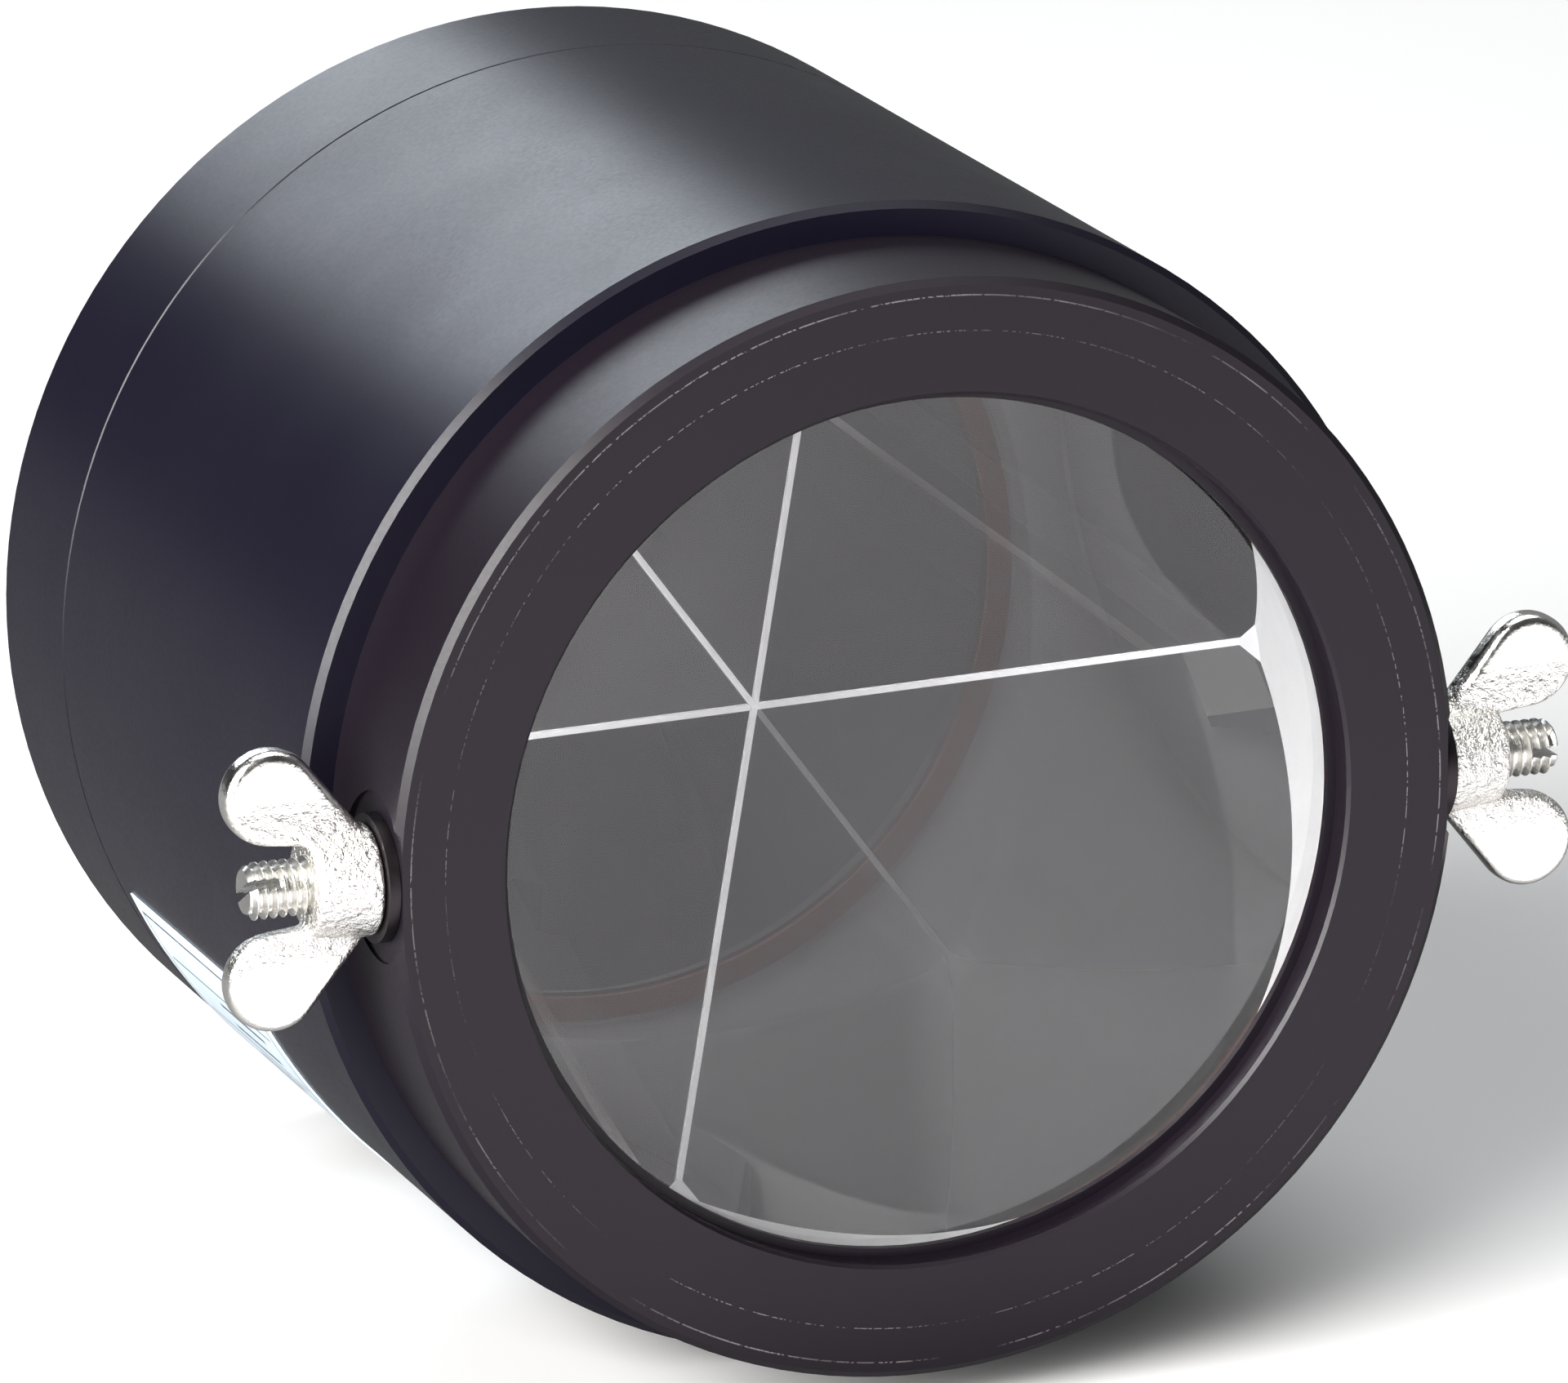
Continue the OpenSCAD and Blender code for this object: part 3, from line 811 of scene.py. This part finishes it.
def to_side(bm, side):
    """Turns a piece that was drawn for the right side round to its own. A turn keeps the thread's hand."""
    if SIDES[side] < 0:
        bmesh.ops.rotate(bm, verts=bm.verts, cent=(0, 0, 0), matrix=Matrix.Rotation(math.pi, 3, "Z"))
    return bm


# %% [markdown]
# ## Both studs
#
# One rod is drawn for the right side, and the left one is the same rod turned round half a turn. Mirroring
# it would make a left-hand thread. A stud's slot stops wherever the thread was tight, so the two differ.

# %% Make both studs
for side, sign in SIDES.items():
    node_name = f"stud_{side}"
    bm = to_side(threaded_rod(STUD_ROOT_X, STUD_TIP_X), side)
    stud = finish_piece(bm, f"threaded_stud_{side}", "canister", node_name,
                        [thread_steel], sharp=24)
    turn = Matrix.Rotation(SLOT_TURN[side], 4, "X")
    cut_away(stud, box_tool((2 * SLOT_DEPTH, 4 * STUD_R, SLOT_W), (sign * STUD_TIP_X, 0, 0), turn))
    print(stud.name, len(stud.data.polygons), "faces")

# %% [markdown]
# ## The wing nuts
#
# A wing nut like this is die cast and plated: soft edges everywhere, and fillets where the wings run into
# the hub. Separate hub and wing solids are drawn first. A voxel remesh fuses them into one skin, and a few
# rounds of smoothing melt the corners together like metal in a mould. The hole is cut last, because
# remeshing would have rounded it.

# %% Draw the hub and the wings
NUT_LOW, NUT_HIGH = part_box("wing_nut_right")
NUT_BASE_X = NUT_LOW.x
WING_H = NUT_HIGH.x - NUT_BASE_X
WING_REACH = NUT_HIGH.z
WING_T = 2.3 * MM
WING_END_R = 3.4 * MM
HUB_BASE_R = NUT_HIGH.y
HUB_TOP_R = 3.5 * MM
HUB_H = 4.6 * MM
HUB_SOFT = 0.35 * MM
WING_SOFT = 0.7 * MM
WING_FOOT = [(0, 3.2 * MM), (HUB_H, 2.9 * MM)]  # height and distance from the axis, inside the hub
DISC_SIDES = 64
NUT_BORE_R = 2.05 * MM
BORE_TOOL_LENGTH = 200 * MM
CAST_VOXEL = 0.16 * MM
CAST_ROUNDS = 4


def hub_blank(bm):
    """A blunt cone with rounded rims."""
    turn = Matrix.Translation((NUT_BASE_X + HUB_H / 2, 0, 0)) @ Matrix.Rotation(math.pi / 2, 4, "Y")
    made = bmesh.ops.create_cone(bm, cap_ends=True, segments=DISC_SIDES, radius1=HUB_BASE_R,
                                 radius2=HUB_TOP_R, depth=HUB_H, matrix=turn)
    edges = {e for v in made["verts"] for e in v.link_edges}
    rims = {e for e in edges if abs(e.verts[0].co.x - e.verts[1].co.x) < HUB_H / 2}
    soften(bm, list(rims), HUB_SOFT)


def wing_blank(bm, way):
    """A flat slab round the wing's end disc and the hub's side, with rounded edges."""
    slab = bmesh.new()
    end = (NUT_BASE_X + WING_H - WING_END_R, WING_REACH - WING_END_R)
    turn = Matrix.Translation((end[0], 0, way * end[1])) @ Matrix.Rotation(math.pi / 2, 4, "X")
    bmesh.ops.create_cone(slab, cap_ends=True, segments=DISC_SIDES, radius1=WING_END_R, radius2=WING_END_R,
                          depth=WING_T, matrix=turn)
    for x, z in WING_FOOT:
        for y in (-WING_T / 2, WING_T / 2):
            slab.verts.new((NUT_BASE_X + x, y, way * z))
    hull = bmesh.ops.convex_hull(slab, input=slab.verts)
    inside = [v for v in hull["geom_interior"] + hull["geom_unused"] if isinstance(v, bmesh.types.BMVert)]
    bmesh.ops.delete(slab, geom=inside, context="VERTS")
    bmesh.ops.dissolve_limit(slab, angle_limit=math.radians(1), verts=slab.verts, edges=slab.edges)
    flat = [f for f in slab.faces if abs(f.normal.y) > 0.9]
    soften(slab, list({e for f in flat for e in f.edges}), WING_SOFT, 4)
    mesh = bpy.data.meshes.new("slab")
    slab.to_mesh(mesh)
    slab.free()
    bm.from_mesh(mesh)
    bpy.data.meshes.remove(mesh)


# %% [markdown]
# ## Casting it in one piece
#
# The three blanks overlap like parts of a wax pattern. The voxel size sets how fine the new skin is: smaller
# than the softest edge, and large enough to keep the mesh light. Each round of smoothing moves every point
# half way to the middle of its neighbours.

# %% Cast both nuts and drill them
def cast_together(piece, voxel, rounds):
    """Fuses the blanks into one skin and melts its corners."""
    fuse = piece.modifiers.new("fuse", "REMESH")
    fuse.mode = "VOXEL"
    fuse.voxel_size = voxel
    fuse.use_smooth_shade = True
    apply_modifiers(piece)
    bm = bmesh.new()
    bm.from_mesh(piece.data)
    for _ in range(rounds):
        bmesh.ops.smooth_vert(bm, verts=bm.verts, factor=0.5,
                              use_axis_x=True, use_axis_y=True, use_axis_z=True)
    bm.to_mesh(piece.data)
    bm.free()


def bore_tool(radius):
    """A drill along X."""
    bm = bmesh.new()
    turn = Matrix.Rotation(math.pi / 2, 4, "Y")
    bmesh.ops.create_cone(bm, cap_ends=True, segments=DISC_SIDES, radius1=radius, radius2=radius,
                          depth=BORE_TOOL_LENGTH, matrix=turn)
    return tool_object(bm)


for side in SIDES:
    bm = bmesh.new()
    hub_blank(bm)
    wing_blank(bm, 1)
    wing_blank(bm, -1)
    nut = finish_piece(to_side(bm, side), f"cast_wing_nut_{side}", f"wing_nut_{side}",
                       f"wing_nut_{side}", [nickel])
    cast_together(nut, CAST_VOXEL, CAST_ROUNDS)
    cut_away(nut, bore_tool(NUT_BORE_R))
    print(nut.name, len(nut.data.polygons), "faces")

# %% [markdown]
# ## The size with and without the looks
#
# Looks never change the object's size, so the last cell prints the size of both boxes.

# %% Print both boxes
shown_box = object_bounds()
boxes = {"cad": [list(corner) for corner in cad_box], "visual": [list(corner) for corner in shown_box]}
for name, (low, high) in boxes.items():
    print(name, [round((b - a) / MM, 2) for a, b in zip(low, high)], "mm")
